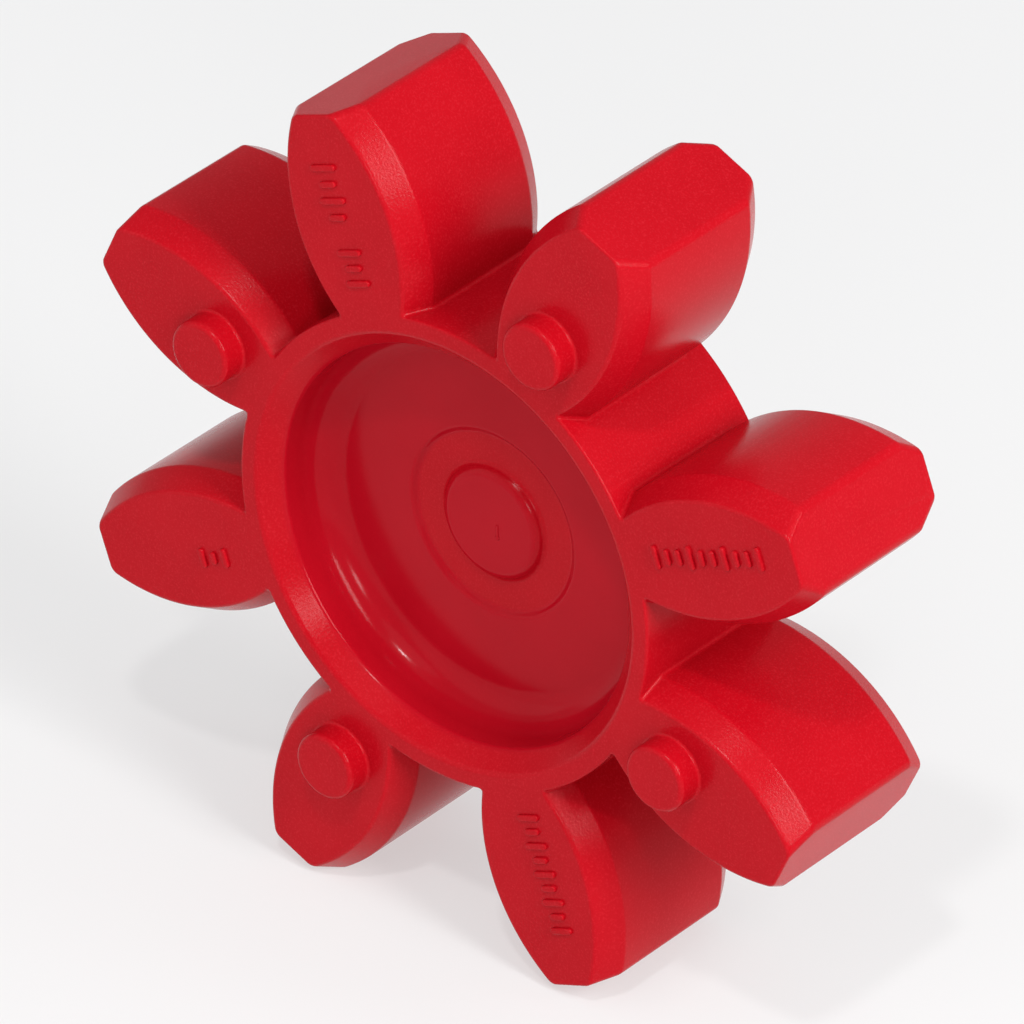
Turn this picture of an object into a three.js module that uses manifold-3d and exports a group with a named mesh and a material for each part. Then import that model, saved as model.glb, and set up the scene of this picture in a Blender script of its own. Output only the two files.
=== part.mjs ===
// Elastomer spider of a jaw coupling: a hub ring closed by a web, with eight barrel-sided lobes around it.
//
// The real spider is a single moulding. Each mesh below is one region of it, so that every region can be named
// and measured on its own. Regions meet across a seam that is only a numerical clearance.
//
// Millimetres. The coupling's axis is Y, the front face looks along -Y, and +Z is up. The origin is on the axis,
// halfway through the thickness. Shapes are drawn with their axis along Z, then one group turns them upright.

import * as THREE from 'three';
import { mergeVertices } from 'three/addons/utils/BufferGeometryUtils.js';
import Module from 'manifold-3d';

const wasm = await Module();
wasm.setup();

// Driving dimensions
const TIP_RADIUS = 40; // axis to the flat tip of a lobe: an 80 mm spider
const THICKNESS = 18; // front face to rear face
const LOBE_COUNT = 8;
const FIRST_LOBE_ANGLE = Math.PI / LOBE_COUNT; // the gaps lie on the X and Z axes

// Lobes: each flank is one arc, and both long edges of a flank are chamfered
const FLANK_RADIUS = 19;
const LOBE_HALF_WIDTH = 6.8; // at the widest place
const LOBE_WIDEST_AT = 29.8; // its distance from the axis
const CHAMFER_ACROSS = 1.4; // measured on the front face
const CHAMFER_ALONG = 2.45; // measured on the flank

// Hub ring and the cup inside it
const RING_RADIUS = 22.05;
const RIM_WIDTH = 1.7; // flat part of the rim
const RIM_BEVEL = 1.75; // 45 degrees, towards the cup
const CUP_FILLET = 3; // between the cup's wall and the web

// Web and the moulding gate at its centre
const WEB_THICKNESS = 4.6;
const RECESS_RADIUS = 8.6;
const RECESS_DEPTH = 0.4;
const BOSS_RADIUS = 5.2;
const BOSS_HEIGHT = 0.8; // above the recess floor
const BOSS_EDGE = 0.6;

// Spacer pads, on every second lobe of both faces
const PAD_RADIUS = 3.05;
const PAD_HEIGHT = 2.3;
const PAD_EDGE = 0.4;
const PAD_DISTANCE = 27.05; // axis to pad centre

// Clearance between regions, and how finely round shapes are divided
const SEAM = 0.02;
const RING_STEPS = 48;
const PAD_STEPS = 16;
const FLANK_STEPS = 8;
const ARC_STEPS = 2;

const HALF_THICKNESS = THICKNESS / 2;
const HALF_WEB = WEB_THICKNESS / 2;
const CUP_RADIUS = RING_RADIUS - RIM_WIDTH - RIM_BEVEL;
const FLANGE_RADIUS = CUP_RADIUS - CUP_FILLET; // where the ring's fillets end and the flat web begins
const URETHANE_RED = 0xc4141c;

const vec = (x, y) => new THREE.Vector2(x, y);

// Points of a quarter arc, end points included
function arc(centreX, centreY, radius, startAngle, endAngle) {
  const path = new THREE.Path();
  path.absarc(centreX, centreY, radius, startAngle, endAngle, endAngle < startAngle);
  return path.getPoints(ARC_STEPS);
}

// A turned solid with its axis along Z, from (radius, height) points that run over the top and down the outside.
// A lathe faces outwards when its outside runs upwards, so the points are reversed.
function turned(profile, steps) {
  return new THREE.LatheGeometry([...profile].reverse(), steps).rotateX(Math.PI / 2);
}

function toManifold(geometry) {
  const bare = geometry.clone();
  bare.deleteAttribute('normal');
  bare.deleteAttribute('uv');
  const merged = mergeVertices(bare);
  return new wasm.Manifold(
    new wasm.Mesh({
      numProp: 3,
      vertProperties: new Float32Array(merged.attributes.position.array),
      triVerts: new Uint32Array(merged.index.array),
    }),
  );
}

function toGeometry(manifold) {
  const mesh = manifold.getMesh();
  const geometry = new THREE.BufferGeometry();
  geometry.setAttribute('position', new THREE.BufferAttribute(mesh.vertProperties, mesh.numProp));
  geometry.setIndex(new THREE.BufferAttribute(mesh.triVerts, 1));
  geometry.computeVertexNormals();
  return geometry;
}

// Mirrors the upper half of a profile, which starts and ends on the mid-plane's two sides
function mirrored(upperHalf) {
  const lowerHalf = upperHalf.map((point) => vec(point.x, -point.y)).reverse();
  return [...upperHalf, ...lowerHalf];
}

// The round wall that carries the lobes, with both cup fillets
function hubRingGeometry() {
  const upperHalf = [
    ...arc(FLANGE_RADIUS, HALF_WEB + CUP_FILLET, CUP_FILLET, -Math.PI / 2, 0),
    vec(CUP_RADIUS, HALF_THICKNESS - RIM_BEVEL),
    vec(RING_RADIUS - RIM_WIDTH, HALF_THICKNESS),
    vec(RING_RADIUS, HALF_THICKNESS),
  ];
  const profile = mirrored(upperHalf);
  return turned([...profile, profile[0]], RING_STEPS);
}

// The disc between the two cups, with a shallow recess and a low boss on each face
function webGeometry() {
  const recessFloor = HALF_WEB - RECESS_DEPTH;
  const bossTop = recessFloor + BOSS_HEIGHT;
  const upperHalf = [
    vec(0, bossTop),
    ...arc(BOSS_RADIUS - BOSS_EDGE, bossTop - BOSS_EDGE, BOSS_EDGE, Math.PI / 2, 0),
    vec(BOSS_RADIUS, recessFloor),
    vec(RECESS_RADIUS, recessFloor),
    vec(RECESS_RADIUS, HALF_WEB),
    vec(FLANGE_RADIUS - SEAM, HALF_WEB),
  ];
  return turned(mirrored(upperHalf), RING_STEPS);
}

// One lobe, pointing along +X: an arc-sided bar with chamfered flanks, cut by its flat tip and by the hub ring
function lobeGeometry() {
  const flankCentre = FLANK_RADIUS - LOBE_HALF_WIDTH;
  const spread = (x) => Math.acos((x - LOBE_WIDEST_AT) / FLANK_RADIUS);
  const rootAngle = spread(RING_RADIUS - CHAMFER_ALONG - RIM_BEVEL);
  const tipAngle = spread(TIP_RADIUS + CHAMFER_ALONG);
  const outline = new THREE.Shape();
  outline.absarc(LOBE_WIDEST_AT, -flankCentre, FLANK_RADIUS, tipAngle, rootAngle, false);
  outline.absarc(LOBE_WIDEST_AT, flankCentre, FLANK_RADIUS, -rootAngle, -tipAngle, false);

  const bar = new THREE.ExtrudeGeometry(outline, {
    depth: THICKNESS - 2 * CHAMFER_ALONG,
    curveSegments: FLANK_STEPS,
    bevelThickness: CHAMFER_ALONG,
    bevelSize: CHAMFER_ACROSS,
    bevelOffset: -CHAMFER_ACROSS,
    bevelSegments: 1,
  }).translate(0, 0, CHAMFER_ALONG - HALF_THICKNESS);

  const beyondTip = new THREE.BoxGeometry(TIP_RADIUS, TIP_RADIUS, 2 * THICKNESS);
  beyondTip.translate(1.5 * TIP_RADIUS, 0, 0);
  const clearRadius = RING_RADIUS + SEAM;
  const insideRing = new THREE.CylinderGeometry(clearRadius, clearRadius, 2 * THICKNESS, RING_STEPS);
  insideRing.rotateX(Math.PI / 2).rotateZ(FIRST_LOBE_ANGLE);

  const lobe = toManifold(bar).subtract(toManifold(beyondTip)).subtract(toManifold(insideRing));
  return toGeometry(lobe);
}

// A low round pad standing on the XY plane
function padGeometry() {
  const profile = [
    vec(0, PAD_HEIGHT),
    ...arc(PAD_RADIUS - PAD_EDGE, PAD_HEIGHT - PAD_EDGE, PAD_EDGE, Math.PI / 2, 0),
    vec(PAD_RADIUS, SEAM),
    vec(0, SEAM),
  ];
  return turned(profile, PAD_STEPS);
}

const material = new THREE.MeshStandardMaterial({ color: URETHANE_RED, roughness: 0.4, metalness: 0 });
const spider = new THREE.Group();
spider.rotation.x = Math.PI / 2;

function addMesh(name, geometry) {
  const mesh = new THREE.Mesh(geometry, material.clone());
  mesh.name = name;
  spider.add(mesh);
  return mesh;
}

addMesh('hub_ring', hubRingGeometry());
addMesh('web', webGeometry());

const lobe = lobeGeometry();
const pad = padGeometry();
for (let index = 0; index < LOBE_COUNT; index++) {
  const angle = FIRST_LOBE_ANGLE + (index * 2 * Math.PI) / LOBE_COUNT;
  addMesh(`lobe_${index + 1}`, lobe).rotation.z = angle;

  const carriesPads = index % 2 === 1;
  if (carriesPads) {
    const padNumber = (index + 1) / 2;
    const x = PAD_DISTANCE * Math.cos(angle);
    const y = PAD_DISTANCE * Math.sin(angle);
    addMesh(`front_pad_${padNumber}`, pad).position.set(x, y, HALF_THICKNESS);
    const rearPad = addMesh(`rear_pad_${padNumber}`, pad);
    rearPad.position.set(x, y, -HALF_THICKNESS);
    rearPad.rotation.x = Math.PI;
  }
}

export default spider;
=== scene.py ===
"""Blender scene of a jaw coupling's elastomer spider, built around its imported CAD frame.

The real spider is one moulding, so one seamless mesh stands for all of the CAD's regions. Its surface is
the zero level of a signed distance written below from the same dimensions, with the moulding's fillets and
rounded edges. Shapes are worked out in millimetres and turned into metres when a mesh is made.
"""

import itertools
import math

import bpy
import numpy as np
from mathutils import Matrix, Vector


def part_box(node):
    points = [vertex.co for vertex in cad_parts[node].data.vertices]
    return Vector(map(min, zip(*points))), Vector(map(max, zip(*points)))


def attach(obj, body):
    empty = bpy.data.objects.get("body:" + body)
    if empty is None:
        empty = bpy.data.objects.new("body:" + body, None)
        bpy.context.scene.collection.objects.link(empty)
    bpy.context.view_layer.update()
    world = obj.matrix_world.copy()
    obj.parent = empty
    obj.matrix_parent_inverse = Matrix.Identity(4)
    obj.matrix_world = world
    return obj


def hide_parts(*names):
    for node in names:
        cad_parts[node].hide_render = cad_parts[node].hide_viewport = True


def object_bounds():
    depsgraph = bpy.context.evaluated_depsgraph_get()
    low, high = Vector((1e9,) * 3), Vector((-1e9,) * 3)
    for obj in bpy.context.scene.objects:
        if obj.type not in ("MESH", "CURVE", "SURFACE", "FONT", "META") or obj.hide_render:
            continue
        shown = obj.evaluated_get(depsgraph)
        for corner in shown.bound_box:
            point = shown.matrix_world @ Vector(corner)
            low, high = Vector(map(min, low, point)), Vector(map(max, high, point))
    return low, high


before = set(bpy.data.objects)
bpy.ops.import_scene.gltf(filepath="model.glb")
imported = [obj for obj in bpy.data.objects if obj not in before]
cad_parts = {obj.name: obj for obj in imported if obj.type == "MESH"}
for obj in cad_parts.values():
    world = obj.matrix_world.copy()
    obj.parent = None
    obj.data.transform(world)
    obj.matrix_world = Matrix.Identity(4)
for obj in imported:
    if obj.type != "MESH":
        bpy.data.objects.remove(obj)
cad_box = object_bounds()

MM = 0.001

# Driving dimensions in millimetres, from the frame where a CAD box holds them
RING_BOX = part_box("hub_ring")
PAD_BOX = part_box("front_pad_1")
HALF_THICKNESS = RING_BOX[1].y / MM
RING_RADIUS = RING_BOX[1].x / MM
PAD_TOP = -PAD_BOX[0].y / MM
PAD_RADIUS = (PAD_BOX[1].x - PAD_BOX[0].x) / 2 / MM
PAD_CENTRE = (PAD_BOX[0] + PAD_BOX[1]) / 2 / MM
PAD_DISTANCE = math.hypot(PAD_CENTRE.x, PAD_CENTRE.z)
PAD_ANGLE = math.atan2(PAD_CENTRE.z, PAD_CENTRE.x)
BOSS_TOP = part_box("web")[1].y / MM

LOBE_COUNT = 8
LOBE_PITCH = 2 * math.pi / LOBE_COUNT
TIP_RADIUS = 40.0
FLANK_RADIUS = 19.0
LOBE_HALF_WIDTH = 6.8
LOBE_WIDEST_AT = 29.8
CHAMFER_ACROSS = 1.4
CHAMFER_ALONG = 2.45
RIM_WIDTH = 1.7
RIM_BEVEL = 1.75
CUP_RADIUS = RING_RADIUS - RIM_WIDTH - RIM_BEVEL
CUP_FILLET = 3.0
HALF_WEB = 2.3
RECESS_RADIUS = 8.6
RECESS_DEPTH = 0.4
BOSS_RADIUS = 5.2
WALL_SLOPE = math.radians(64)  # of the recess's and the boss's low walls, from the web

# Radii of the moulding's small edges and fillets, in millimetres
FACE_EDGE = 0.22
TIP_EDGE = 0.45
CHAMFER_EDGE = 0.15
ROOT_FILLET = 0.4
RIM_EDGE = 0.25
PAD_EDGE = 0.45
PAD_FILLET = 0.25
BOSS_EDGE = 0.5
BOSS_FILLET = 0.3
RECESS_EDGE = 0.28

# Marks moulded on the front faces, in millimetres: along a lobe is outwards from the axis
MARK_HEIGHT = 0.28
MARK_ROOT = 0.1  # how far a mark reaches into the face
MARK_EDGE = 0.14
MARK_STEPS = 7
TICK_WIDTH = 0.6

# Rows of ticks as (lobe, first tick along it, count, pitch, middle across it, repeating lengths)
TICK_ROWS = (
    (1, 24.6, 10, 1.28, 0.3, (2.2, 1.5, 1.5)),
    (3, 24.8, 3, 1.4, 0.2, (2.6, 1.8)),
    (3, 30.8, 4, 1.5, 0.3, (1.8, 2.8)),
    (5, 25.7, 3, 1.3, 0.7, (1.8, 1.2)),
    (7, 24.2, 9, 1.32, 1.0, (2.4, 1.6)),
)

# The gate's trace on the boss: bars as (length, width, height, along, across, turn in degrees)
GATE_BARS = (
    (1.3, 0.34, 0.1, 0.7, -0.6, 70),
    (0.5, 0.5, 0.12, 0.5, -1.2, 0),
)

# Surface of the urethane: each shade is a dark and a light linear RGB, which the clouding runs between
GRAINS_PER_METRE = 5000
# Scale of the pale specks, which are painted glints of light on the grain
PAINTED_GLINTS_PER_METRE = 5200
SHEEN_PATCHES_PER_METRE = 900
CLOUDS_PER_METRE = 120
CLOUD_ENDS = (0.3, 0.7)  # the noise values that the dark and the light shade belong to
GRAIN_HEIGHT = 0.014  # millimetres
CUP_GRAIN = 0.25  # share of the grain that the polished cup still has
POLISHED_SHADES = ((0.370, 0.0032, 0.0110), (0.400, 0.0040, 0.0130))
GRAINED_SHADES = ((0.395, 0.0022, 0.0075), (0.430, 0.0030, 0.0090))
# Paler red of the specks: painted glints that stand in for tiny highlights on the grain
PAINTED_GLINT_SHADE = (0.475, 0.009, 0.017)
POLISHED_ROUGHNESS = 0.08
GRAIN_ROUGHNESS = 0.09
UNEVEN_ROUGHNESS = 0.08
URETHANE_IOR = 1.18

# Mesh resolution, with its lengths in millimetres
GRID_STEP = 0.2
GRID_MARGIN = 1.0
TRIANGLE_BUDGET = 190_000
SURFACE_STEPS = 3
GRADIENT_STEP = 0.02
LEAST_SLOPE = 0.3  # keeps a step towards the surface short where the distance is nearly flat

# Camera: angles in degrees, lengths in millimetres
CAMERA_AZIMUTH = 38.08
CAMERA_ELEVATION = 33.02
CAMERA_ROLL = 1.94
CAMERA_DISTANCE = 1168.8
CAMERA_LENS = 487.9
CAMERA_SENSOR = 36
CAMERA_AIM = (0.21, -0.03)  # right and up of the origin, in the picture plane

# Studio: lengths in metres
FLOOR_REACH = 4.0
FLOOR_SHADE = 0.3
FLOOR_GLOW = 0.53
SKY_COLOUR = (0.97, 0.98, 1.0)
SKY_STRENGTH = 0.46
LIGHT_DISTANCE = 0.9

# Lights as (name, direction from the origin, width, height, watts)
LIGHTS = (
    ("key_right", (0.79, -0.15, 0.6), 0.26, 0.6, 6.2),
    ("key_back", (0.75, 0.3, 0.55), 0.2, 0.2, 0.8),
    ("fill_left", (-0.55, -0.8, 0.22), 0.9, 0.9, 1.6),
    ("overhead", (0.22, 0.05, 0.97), 0.9, 0.9, 0.6),
    ("top_front", (0.1, -0.7, 0.7), 0.5, 0.5, 0.6),
    ("streak", (0.55, -0.74, 0.35), 0.16, 0.16, 1.3),
    ("spark", (0.2, -0.45, 0.87), 0.07, 0.07, 2.0),
)


def rounded_max(a, b, radius):
    """Intersection of two distances, its convex edge rounded."""
    near = np.hypot(np.maximum(a + radius, 0), np.maximum(b + radius, 0))
    return np.minimum(np.maximum(a, b), -radius) + near


def rounded_min(a, b, radius):
    """Union of two distances, its concave corner filleted."""
    return -rounded_max(-a, -b, radius)


def soft_ramp(x, width):
    """max(x, 0) with its corner rounded over width on each side."""
    inner = np.clip(x + width, 0, 2 * width)
    return np.where(x > width, x, inner * inner / (4 * width))


def sloped_wall(outwards, along):
    """Distance to a cone of WALL_SLOPE that leans inwards as along grows."""
    return outwards * math.sin(WALL_SLOPE) + along * math.cos(WALL_SLOPE)


def folded(x, z, pitch, offset):
    """Turns every sector of that pitch onto the one centred on the X axis. Returns (along, across)."""
    radius = np.hypot(x, z)
    angle = np.mod(np.arctan2(z, x) - offset + pitch / 2, pitch) - pitch / 2
    return radius * np.cos(angle), radius * np.sin(angle)


def spider_distance(x, y, z):
    """Signed distance to the spider in millimetres, negative inside."""
    radius = np.hypot(x, z)
    height = np.abs(y)
    along, across = folded(x, z, LOBE_PITCH, LOBE_PITCH / 2)

    flank_centre = FLANK_RADIUS - LOBE_HALF_WIDTH
    flank = np.hypot(along - LOBE_WIDEST_AT, np.abs(across) + flank_centre) - FLANK_RADIUS
    above_chamfer = height - (HALF_THICKNESS - CHAMFER_ALONG)
    flank = flank + soft_ramp(above_chamfer, CHAMFER_EDGE) * CHAMFER_ACROSS / CHAMFER_ALONG
    lobe = rounded_max(flank, along - TIP_RADIUS, TIP_EDGE)

    plan = rounded_min(lobe, radius - RING_RADIUS, ROOT_FILLET)
    body = rounded_max(plan, height - HALF_THICKNESS, FACE_EDGE)

    flare = soft_ramp(height - (HALF_THICKNESS - RIM_BEVEL), RIM_EDGE)
    cup = rounded_max(radius - CUP_RADIUS - flare, HALF_WEB - height, CUP_FILLET)
    recess_floor = HALF_WEB - RECESS_DEPTH
    recess_wall = sloped_wall(radius - RECESS_RADIUS, (recess_floor + HALF_WEB) / 2 - height)
    recess = rounded_max(recess_wall, recess_floor - height, RECESS_EDGE)
    body = rounded_max(body, -rounded_min(cup, recess, RECESS_EDGE), RIM_EDGE)

    boss_wall = sloped_wall(radius - BOSS_RADIUS, height - (recess_floor + BOSS_TOP) / 2)
    boss = rounded_max(boss_wall, height - BOSS_TOP, BOSS_EDGE)
    body = rounded_min(body, boss, BOSS_FILLET)

    pad_along, pad_across = folded(x, z, 2 * LOBE_PITCH, PAD_ANGLE)
    pad_radius = np.hypot(pad_along - PAD_DISTANCE, pad_across)
    pad = rounded_max(pad_radius - PAD_RADIUS, height - PAD_TOP, PAD_EDGE)
    return rounded_min(body, pad, PAD_FILLET)


def gradient(distance, points):
    """Unit normals and the distance's slope at each point."""
    slopes = np.empty_like(points)
    for axis in range(3):
        step = np.zeros(3)
        step[axis] = GRADIENT_STEP
        ahead = distance(*(points + step).T)
        behind = distance(*(points - step).T)
        slopes[:, axis] = (ahead - behind) / (2 * GRADIENT_STEP)
    length = np.linalg.norm(slopes, axis=1, keepdims=True)
    return slopes / np.maximum(length, 1e-9), length[:, 0]


def onto_surface(distance, points):
    """Moves points along the gradient until they lie on the zero level."""
    for _ in range(SURFACE_STEPS):
        normals, slope = gradient(distance, points)
        points = points - normals * (distance(*points.T) / np.maximum(slope, LEAST_SLOPE))[:, None]
    return points


def surface_nets(distance, low, high, step):
    """Quads round the zero level: one vertex in each grid cell that the surface passes through."""
    axes = [np.arange(first, last + step, step) for first, last in zip(low, high)]
    values = distance(*np.meshgrid(*axes, indexing="ij", sparse=True)).astype(np.float32)
    inside = values < 0
    shape = np.array(values.shape) - 1
    corners = list(itertools.product((0, 1), repeat=3))
    count = np.zeros(shape, np.int8)
    for i, j, k in corners:
        count += inside[i:i + shape[0], j:j + shape[1], k:k + shape[2]]
    cells = np.argwhere((count > 0) & (count < 8))
    index = np.full(shape, -1, np.int32)
    index[tuple(cells.T)] = np.arange(len(cells))

    total = np.zeros((len(cells), 3))
    hits = np.zeros(len(cells))
    for axis in range(3):
        forward = np.eye(3, dtype=int)[axis]
        for corner in corners:
            if corner[axis]:
                continue
            start = cells + corner
            here = values[tuple(start.T)]
            there = values[tuple((start + forward).T)]
            crossed = (here < 0) != (there < 0)
            share = np.where(crossed, here / np.where(crossed, here - there, 1), 0)
            total += np.where(crossed[:, None], start + share[:, None] * forward, 0)
            hits += crossed
    points = total / hits[:, None] * step + np.array(low)

    quads = []
    for axis in range(3):
        second, third = (axis + 1) % 3, (axis + 2) % 3
        ahead = np.roll(inside, -1, axis)
        edges = np.argwhere(inside != ahead)
        interior = (edges > 0).all(1) & (edges < shape).all(1)
        edges = edges[interior]
        ring = []
        for second_shift, third_shift in ((-1, -1), (0, -1), (0, 0), (-1, 0)):
            cell = edges.copy()
            cell[:, second] += second_shift
            cell[:, third] += third_shift
            ring.append(index[tuple(cell.T)])
        faces = np.stack(ring, 1)
        leaving = inside[tuple(edges.T)]
        quads.append(np.where(leaving[:, None], faces, faces[:, ::-1]))
    return points, np.concatenate(quads)


def mesh_object(name, points, faces):
    """A mesh object in metres from points in millimetres and equal-sided faces."""
    mesh = bpy.data.meshes.new(name)
    sides = faces.shape[1]
    mesh.vertices.add(len(points))
    mesh.vertices.foreach_set("co", (points * MM).astype(np.float32).ravel())
    mesh.loops.add(faces.size)
    mesh.loops.foreach_set("vertex_index", faces.astype(np.int32).ravel())
    mesh.polygons.add(len(faces))
    mesh.polygons.foreach_set("loop_start", np.arange(0, faces.size, sides, dtype=np.int32))
    mesh.update(calc_edges=True)
    mesh.validate()
    made = bpy.data.objects.new(name, mesh)
    bpy.context.scene.collection.objects.link(made)
    return made


def vertex_points(mesh):
    """The mesh's vertices in millimetres."""
    found = np.empty(len(mesh.vertices) * 3, np.float32)
    mesh.vertices.foreach_get("co", found)
    return found.reshape(-1, 3).astype(float) / MM


def thin_out(made, triangles):
    """Collapses edges where the surface is flat, until about that many triangles are left."""
    ratio = triangles / (2 * len(made.data.polygons))
    if ratio >= 1:
        return
    modifier = made.modifiers.new("thin", "DECIMATE")
    modifier.ratio = ratio
    modifier.use_collapse_triangulate = True
    evaluated = made.evaluated_get(bpy.context.evaluated_depsgraph_get())
    thinned = bpy.data.meshes.new_from_object(evaluated)
    made.modifiers.remove(modifier)
    old = made.data
    made.data = thinned
    bpy.data.meshes.remove(old)
    thinned.name = made.name


def build_spider():
    """The whole moulding as one closed mesh, shaded with the surface's own normals."""
    reach = TIP_RADIUS + GRID_MARGIN
    depth = PAD_TOP + GRID_MARGIN
    low, high = (-reach, -depth, -reach), (reach, depth, reach)
    points, quads = surface_nets(spider_distance, low, high, GRID_STEP)
    spider = mesh_object("spider", onto_surface(spider_distance, points), quads)
    thin_out(spider, TRIANGLE_BUDGET)
    mesh = spider.data
    points = onto_surface(spider_distance, vertex_points(mesh))
    mesh.vertices.foreach_set("co", (points * MM).astype(np.float32).ravel())
    mesh.shade_smooth()
    normals, _ = gradient(spider_distance, points)
    mesh.normals_split_custom_set_from_vertices(normals.tolist())
    return spider


def closed_loft(rings):
    """Points and triangles of a closed solid through rings of equal length, with a fan over each end."""
    count = len(rings[0])
    ends = np.array([rings[0].mean(0), rings[-1].mean(0)])
    points = np.concatenate([*rings, ends])
    first_end = len(points) - 2
    last_end = len(points) - 1
    top_row = (len(rings) - 1) * count
    triangles = []
    for k in range(count):
        after = (k + 1) % count
        for row in range(0, top_row, count):
            triangles.append((row + k, row + after, row + count + after))
            triangles.append((row + k, row + count + after, row + count + k))
        triangles.append((first_end, after, k))
        triangles.append((last_end, top_row + k, top_row + after))
    return points, np.array(triangles)


def bar_outline(half_length, half_width):
    """Points round a bar with semicircular ends, in a plane."""
    turns = np.linspace(-math.pi / 2, math.pi / 2, MARK_STEPS)
    straight = half_length - half_width
    end = np.stack([straight + half_width * np.cos(turns), half_width * np.sin(turns)], 1)
    return np.concatenate([end, -end])


def raised_bar(length, width, height):
    """A low bar along X on the plane z = 0, its top edge rounded over its whole height."""
    turns = np.linspace(0, math.pi / 2, MARK_STEPS)
    inset = np.concatenate([[0], MARK_EDGE * (1 - np.cos(turns))])
    level = np.concatenate([[-MARK_ROOT], height - MARK_EDGE + MARK_EDGE * np.sin(turns)])
    rings = []
    for inwards, z in zip(inset, level):
        outline = bar_outline(length / 2 - inwards, width / 2 - inwards)
        rings.append(np.column_stack([outline, np.full(len(outline), z)]))
    return closed_loft(rings)


def placed(solid, x, y, turn=0.0):
    """The solid turned about its own Z axis and moved in the plane."""
    points, triangles = solid
    cosine = math.cos(turn)
    sine = math.sin(turn)
    turned = points @ np.array([[cosine, sine, 0], [-sine, cosine, 0], [0, 0, 1]])
    return turned + np.array([x, y, 0]), triangles


def face_piece(name, solids, lobe, level):
    """One object of solids drawn on a front face: x out along the lobe, y across it, z out of the face."""
    angle = LOBE_PITCH * (lobe - 0.5)
    out = np.array([math.cos(angle), 0, math.sin(angle)])
    across = np.array([-math.sin(angle), 0, math.cos(angle)])
    turn = np.stack([out, across, np.array([0, -1, 0])])
    points = []
    triangles = []
    first = 0
    for solid_points, solid_triangles in solids:
        points.append(solid_points @ turn + np.array([0, -level, 0]))
        triangles.append(solid_triangles + first)
        first += len(solid_points)
    made = mesh_object(name, np.concatenate(points), np.concatenate(triangles))
    made.data.shade_smooth()
    return made


def tick_row(start, count, pitch, middle, lengths):
    """A row of ticks that lie across the lobe, their lengths repeating."""
    solids = []
    for k in range(count):
        tick = raised_bar(lengths[k % len(lengths)], TICK_WIDTH, MARK_HEIGHT)
        solids.append(placed(tick, start + k * pitch, middle, math.pi / 2))
    return solids


def lobe_ticks(lobe):
    """All the ticks on one lobe."""
    solids = []
    for row_lobe, *row in TICK_ROWS:
        if row_lobe == lobe:
            solids += tick_row(*row)
    return face_piece(f"ticks_lobe_{lobe}", solids, lobe, HALF_THICKNESS)


def gate_trace():
    """The small trace that the injection gate leaves on the front boss."""
    solids = []
    for length, width, height, along, across, turn in GATE_BARS:
        solids.append(placed(raised_bar(length, width, height), along, across, math.radians(turn)))
    return face_piece("gate_trace", solids, 1, BOSS_TOP)


def build_marks():
    """Plain raised ticks, where a moulding of this kind carries its moulded-in marks."""
    return [gate_trace(), *(lobe_ticks(lobe) for lobe in (1, 3, 5, 7))]


def noise(tree, place, scale, detail):
    """Noise in the object's own space, in features per metre. Returns its value socket."""
    texture = tree.nodes.new("ShaderNodeTexNoise")
    texture.inputs["Scale"].default_value = scale
    texture.inputs["Detail"].default_value = detail
    tree.links.new(place, texture.inputs["Vector"])
    return texture.outputs["Fac"]


def combined(tree, operation, first, second):
    """A Math node of a socket and a socket or number."""
    made = tree.nodes.new("ShaderNodeMath")
    made.operation = operation
    tree.links.new(first, made.inputs[0])
    if isinstance(second, bpy.types.NodeSocket):
        tree.links.new(second, made.inputs[1])
    else:
        made.inputs[1].default_value = second
    return made.outputs[0]


def ramp(tree, source, stops):
    """A colour ramp through (position, colour) stops."""
    made = tree.nodes.new("ShaderNodeValToRGB")
    elements = made.color_ramp.elements
    while len(elements) < len(stops):
        elements.new(0.5)
    for element, (position, colour) in zip(elements, stops):
        element.position = position
        element.color = (*colour, 1)
    tree.links.new(source, made.inputs["Fac"])
    return made.outputs["Color"]


def mixed(tree, share, first, second):
    """A colour between two, the second one a socket or a fixed colour."""
    made = tree.nodes.new("ShaderNodeMix")
    made.data_type = "RGBA"
    tree.links.new(share, made.inputs["Factor"])
    tree.links.new(first, made.inputs["A"])
    if isinstance(second, bpy.types.NodeSocket):
        tree.links.new(second, made.inputs["B"])
    else:
        made.inputs["B"].default_value = (*second, 1)
    return made.outputs["Result"]


def grain_by_radius(tree, place):
    """How grainy the surface is, from the distance to the axis: the cup is polished, its recess isn't."""
    flat = tree.nodes.new("ShaderNodeVectorMath")
    flat.operation = "MULTIPLY"
    flat.inputs[1].default_value = (1, 0, 1)
    tree.links.new(place, flat.inputs[0])
    length = tree.nodes.new("ShaderNodeVectorMath")
    length.operation = "LENGTH"
    tree.links.new(flat.outputs["Vector"], length.inputs[0])
    share = combined(tree, "DIVIDE", length.outputs["Value"], TIP_RADIUS * MM)
    zones = (
        (BOSS_RADIUS - 0.6, CUP_GRAIN),
        (BOSS_RADIUS + 0.3, 1.0),
        (RECESS_RADIUS - 0.5, 1.0),
        (RECESS_RADIUS - 0.2, CUP_GRAIN),
        (CUP_RADIUS, CUP_GRAIN),
        (CUP_RADIUS + 0.4, 1.0),
    )
    return ramp(tree, share, [(radius / TIP_RADIUS, (amount,) * 3) for radius, amount in zones])


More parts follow.
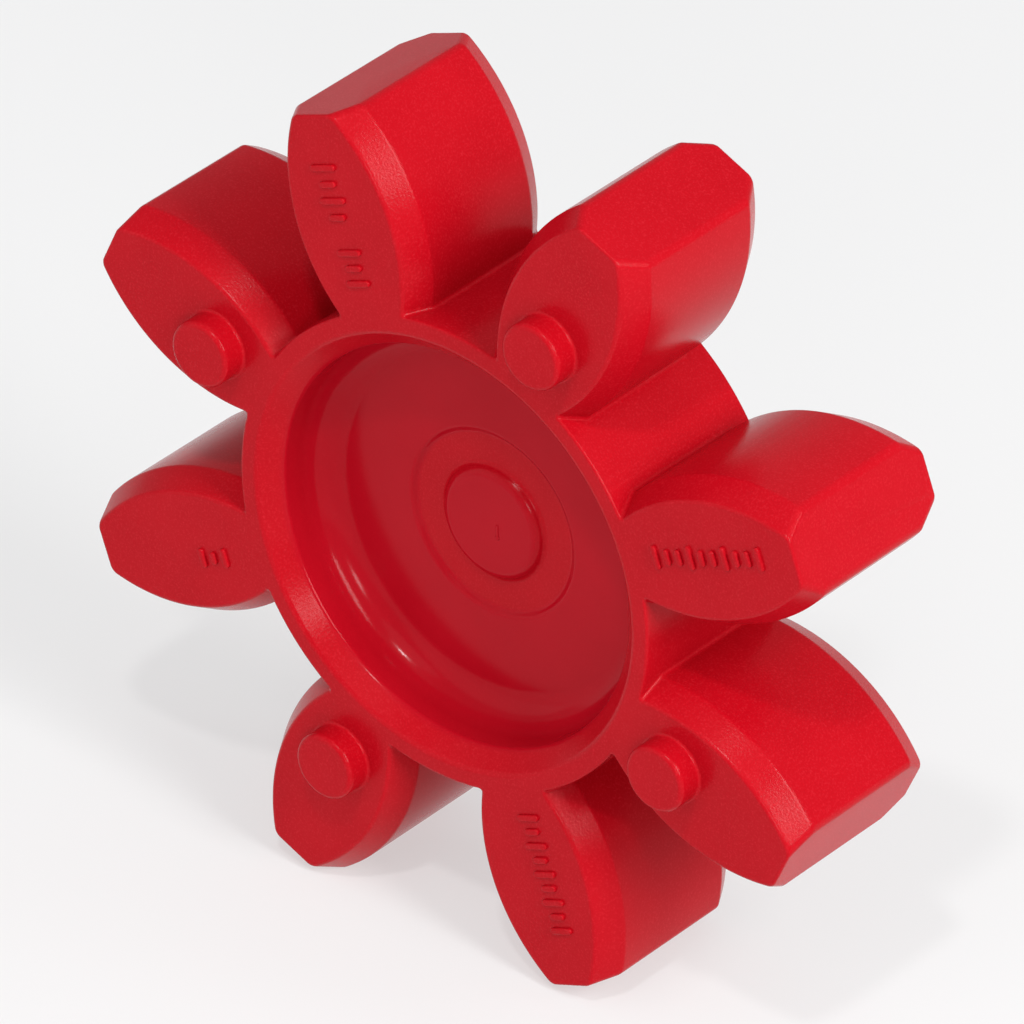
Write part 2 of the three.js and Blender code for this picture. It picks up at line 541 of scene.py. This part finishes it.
def urethane_material():
    """Red polyurethane: fine mould grain outside, with pale specks as its painted glints, a smoother cup,
    faint clouding.
    """
    material = bpy.data.materials.new("red_urethane")
    material.use_nodes = True
    tree = material.node_tree
    shader = tree.nodes["Principled BSDF"]
    shader.inputs["IOR"].default_value = URETHANE_IOR
    place = tree.nodes.new("ShaderNodeTexCoord").outputs["Object"]
    amount = grain_by_radius(tree, place)

    clouds = noise(tree, place, CLOUDS_PER_METRE, 3)
    polished = ramp(tree, clouds, list(zip(CLOUD_ENDS, POLISHED_SHADES)))
    grained = ramp(tree, clouds, list(zip(CLOUD_ENDS, GRAINED_SHADES)))
    # Pale specks painted over the grain as tiny glints of light: painted highlights, not a colour of the
    # urethane
    painted_glint_tops = ramp(tree, noise(tree, place, PAINTED_GLINTS_PER_METRE, 1), [(0.5, (0, 0, 0)), (0.8, (1, 1, 1))])
    painted_glints = combined(tree, "MULTIPLY", painted_glint_tops, amount)
    colour = mixed(tree, painted_glints, mixed(tree, amount, polished, grained), PAINTED_GLINT_SHADE)
    tree.links.new(colour, shader.inputs["Base Color"])

    grain = combined(tree, "MULTIPLY", noise(tree, place, GRAINS_PER_METRE, 2), amount)
    sheen_patches = noise(tree, place, SHEEN_PATCHES_PER_METRE, 2)
    uneven = combined(tree, "MULTIPLY", sheen_patches, UNEVEN_ROUGHNESS)
    matte = combined(tree, "MULTIPLY", amount, GRAIN_ROUGHNESS)
    roughness = combined(tree, "ADD", combined(tree, "ADD", matte, uneven), POLISHED_ROUGHNESS)
    tree.links.new(roughness, shader.inputs["Roughness"])

    bump = tree.nodes.new("ShaderNodeBump")
    bump.inputs["Strength"].default_value = 1.0
    bump.inputs["Distance"].default_value = GRAIN_HEIGHT * MM
    tree.links.new(grain, bump.inputs["Height"])
    tree.links.new(bump.outputs["Normal"], shader.inputs["Normal"])
    return material


def build_floor():
    """A pale floor under the spider's lowest point."""
    mesh = bpy.data.meshes.new("floor")
    z = cad_box[0].z
    corners = [(x * FLOOR_REACH, y * FLOOR_REACH, z) for x, y in ((-1, -1), (1, -1), (1, 1), (-1, 1))]
    mesh.from_pydata(corners, [], [(0, 1, 2, 3)])
    floor = bpy.data.objects.new("floor", mesh)
    bpy.context.scene.collection.objects.link(floor)
    material = bpy.data.materials.new("pale_floor")
    material.use_nodes = True
    shader = material.node_tree.nodes["Principled BSDF"]
    shader.inputs["Base Color"].default_value = (FLOOR_SHADE, FLOOR_SHADE, FLOOR_SHADE, 1)
    shader.inputs["Roughness"].default_value = 0.9
    shader.inputs["Emission Color"].default_value = (1, 1, 1, 1)
    shader.inputs["Emission Strength"].default_value = FLOOR_GLOW
    mesh.materials.append(material)


def build_camera():
    """A long lens from the front, right and above."""
    azimuth = math.radians(CAMERA_AZIMUTH)
    elevation = math.radians(CAMERA_ELEVATION)
    back = Vector((
        math.sin(azimuth) * math.cos(elevation),
        -math.cos(azimuth) * math.cos(elevation),
        math.sin(elevation),
    ))
    roll = Matrix.Rotation(math.radians(CAMERA_ROLL), 3, "Z")
    turn = back.to_track_quat("Z", "Y").to_matrix() @ roll
    right = turn.col[0]
    up = turn.col[1]
    data = bpy.data.cameras.new("camera")
    data.lens = CAMERA_LENS
    data.sensor_width = CAMERA_SENSOR
    data.clip_start = 0.01
    data.clip_end = 20
    camera = bpy.data.objects.new("camera", data)
    camera.location = (back * CAMERA_DISTANCE + right * CAMERA_AIM[0] + up * CAMERA_AIM[1]) * MM
    camera.rotation_mode = "QUATERNION"
    camera.rotation_quaternion = turn.to_quaternion()
    bpy.context.scene.collection.objects.link(camera)
    bpy.context.scene.camera = camera


def area_light(name, direction, width, height, power):
    """A soft light LIGHT_DISTANCE from the origin that faces it."""
    data = bpy.data.lights.new(name, "AREA")
    data.shape = "ELLIPSE"
    data.size = width
    data.size_y = height
    data.energy = power
    light = bpy.data.objects.new(name, data)
    away = Vector(direction).normalized()
    light.location = away * LIGHT_DISTANCE
    light.rotation_mode = "QUATERNION"
    light.rotation_quaternion = away.to_track_quat("Z", "Y")
    bpy.context.scene.collection.objects.link(light)


def build_lights():
    """An even pale sky and soft lights, with the highlights' own small ones."""
    world = bpy.data.worlds.new("studio")
    world.use_nodes = True
    background = world.node_tree.nodes["Background"]
    background.inputs["Color"].default_value = (*SKY_COLOUR, 1)
    background.inputs["Strength"].default_value = SKY_STRENGTH
    bpy.context.scene.world = world
    for light in LIGHTS:
        area_light(*light)
    bpy.context.scene.view_settings.view_transform = "Standard"


build_camera()
build_lights()
build_floor()
spider = build_spider()
urethane = urethane_material()
for piece in [spider, *build_marks()]:
    piece.data.materials.clear()
    piece.data.materials.append(urethane)
    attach(piece, "root")
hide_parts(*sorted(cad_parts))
